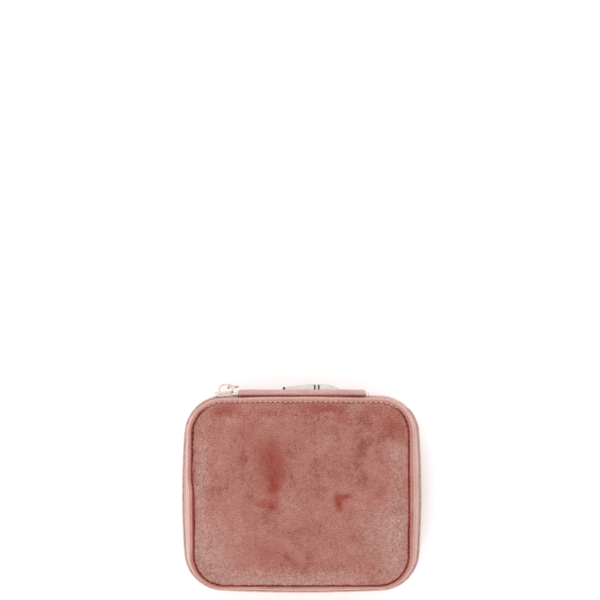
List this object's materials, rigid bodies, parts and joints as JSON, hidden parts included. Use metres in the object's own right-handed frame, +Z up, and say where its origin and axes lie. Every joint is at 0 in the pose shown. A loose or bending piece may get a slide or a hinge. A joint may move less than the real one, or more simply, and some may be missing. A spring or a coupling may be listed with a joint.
{
  "type": "travel jewelry case",
  "caption": "Zipped velvet travel jewelry case: padded lid hinged at the back, zip slider with pull tab, ring rolls, lift-out divider, lid pocket and press-stud straps.",
  "frame": {"origin": "centre of the flat underside of the base", "axes": "+X to the case's right along its longer side, +Y to the hinge at the back, +Z up through the lid"},
  "size_m": [0.12, 0.1046, 0.0525],
  "materials": {
    "velvet": "short-pile dusty rose velvet",
    "zip_cloth": "woven pale pink zip tape",
    "zip_coil": "pale pink nylon coil",
    "lining": "soft brushed velvet lining",
    "board": "plain grey pulp board",
    "foam": "soft white padding",
    "metal": "bright polished plating",
    "satin": "woven satin ribbon",
    "strap": "fine-grained soft synthetic leather"
  },
  "bodies": {
    "base": {"base_bottom_panel": "velvet", "base_foam_pad": "foam", "base_board": "board", "base_wall_board": "board", "base_side_band": "velvet", "base_welt": "velvet", "base_lining_panel": "lining", "base_lining_wall": "lining", "base_zip_tape": "zip_cloth", "base_zip_coil": "zip_coil", "partition": "lining", "zip_stop_left": "metal", "zip_stop_right": "metal", "woven_label": "satin", "ring_roll_1": "lining", "ring_roll_2": "lining", "ring_roll_3": "lining", "ring_roll_4": "lining", "hinge_spine": "velvet", "hinge_lining": "lining"},
    "lid": {"lid_top_panel": "velvet", "lid_foam_pad": "foam", "lid_board": "board", "lid_wall_board": "board", "lid_side_band": "velvet", "lid_welt": "velvet", "lid_lining_panel": "lining", "lid_lining_wall": "lining", "lid_zip_tape": "zip_cloth", "lid_zip_coil": "zip_coil", "lid_pocket": "lining", "lid_pocket_hem": "lining", "zip_end_left": "zip_cloth", "zip_end_right": "zip_cloth", "necklace_tab_anchor": "strap", "snap_stud_1": "metal", "snap_stud_2": "metal", "snap_stud_3": "metal"},
    "slider": {"slider_body": "metal"},
    "puller": {"pull_tab": "metal"},
    "tab_1": {"necklace_tab_1": "strap", "snap_cap_1": "metal"},
    "tab_2": {"necklace_tab_2": "strap", "snap_cap_2": "metal"},
    "tab_3": {"necklace_tab_3": "strap", "snap_cap_3": "metal"},
    "divider": {"divider": "lining"}
  },
  "joints": [
    {"name": "lid_hinge", "type": "hinge", "parent": "base", "child": "lid", "pos_m": [0, 0.051, 0.026], "axis": [-1, 0, 0], "range_deg": [0, 110], "deforming": ["hinge_spine", "hinge_lining", "zip_end_left", "zip_end_right"]},
    {"name": "zip_slider", "type": "hinge", "parent": "base", "child": "slider", "pos_m": [-0.039, 0.029, 0.026], "axis": [0, 0, 1], "range_deg": [0, 90]},
    {"name": "puller_swing", "type": "hinge", "parent": "slider", "child": "puller", "pos_m": [-0.03463, 0.05285, 0.026], "axis": [-0.0498, 0.9988, 0], "range_deg": [-75, 50]},
    {"name": "tab_1_fold", "type": "hinge", "parent": "lid", "child": "tab_1", "pos_m": [-0.024, -0.037, 0.0439], "axis": [-1, 0, 0], "range_deg": [0, 95]},
    {"name": "tab_2_fold", "type": "hinge", "parent": "lid", "child": "tab_2", "pos_m": [0, -0.037, 0.0439], "axis": [-1, 0, 0], "range_deg": [0, 95]},
    {"name": "tab_3_fold", "type": "hinge", "parent": "lid", "child": "tab_3", "pos_m": [0.024, -0.037, 0.0439], "axis": [-1, 0, 0], "range_deg": [0, 95]},
    {"name": "divider_lift", "type": "slide", "parent": "base", "child": "divider", "axis": [0, 0, 1], "range_m": [0, 0.018]}
  ]
}
